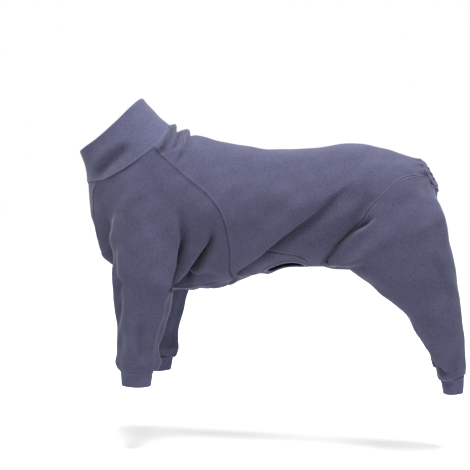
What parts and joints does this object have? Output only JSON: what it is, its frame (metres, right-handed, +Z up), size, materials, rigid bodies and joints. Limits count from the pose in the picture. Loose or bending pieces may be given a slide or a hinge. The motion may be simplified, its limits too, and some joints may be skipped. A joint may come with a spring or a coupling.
{
  "type": "dog jumpsuit",
  "caption": "Four-legged fleece jumpsuit for a large slim dog, with stand collar, raglan sleeves, cuffed legs, a tail opening and a belly opening, in the form it has when worn.",
  "frame": {"origin": "inner face of the back panel on the topline at mid-back, where the suit sits on the wearer", "axes": "+X from the wearer's head to its tail, +Y to the wearer's right, +Z up"},
  "size_m": [0.8449, 0.2592, 0.6155],
  "materials": {
    "collar": "brushed fleece, matt, slate purple-blue, doubled",
    "back_panel": "brushed fleece, matt, slate purple-blue",
    "belly_panel": "brushed fleece, matt, slate purple-blue",
    "belly_binding": "brushed fleece, matt, slate purple-blue, doubled",
    "tail_binding": "brushed fleece, matt, slate purple-blue, doubled",
    "front_sleeve_left": "brushed fleece, matt, slate purple-blue",
    "front_cuff_left": "brushed fleece, matt, slate purple-blue, doubled",
    "hind_leg_left": "brushed fleece, matt, slate purple-blue",
    "hind_cuff_left": "brushed fleece, matt, slate purple-blue, doubled",
    "front_sleeve_right": "brushed fleece, matt, slate purple-blue",
    "front_cuff_right": "brushed fleece, matt, slate purple-blue, doubled",
    "hind_leg_right": "brushed fleece, matt, slate purple-blue",
    "hind_cuff_right": "brushed fleece, matt, slate purple-blue, doubled"
  },
  "bodies": {
    "root": {"collar": "collar", "back_panel": "back_panel", "belly_panel": "belly_panel", "belly_binding": "belly_binding", "tail_binding": "tail_binding", "front_sleeve_left": "front_sleeve_left", "front_cuff_left": "front_cuff_left", "hind_leg_left": "hind_leg_left", "hind_cuff_left": "hind_cuff_left", "front_sleeve_right": "front_sleeve_right", "front_cuff_right": "front_cuff_right", "hind_leg_right": "hind_leg_right", "hind_cuff_right": "hind_cuff_right"}
  },
  "joints": []
}
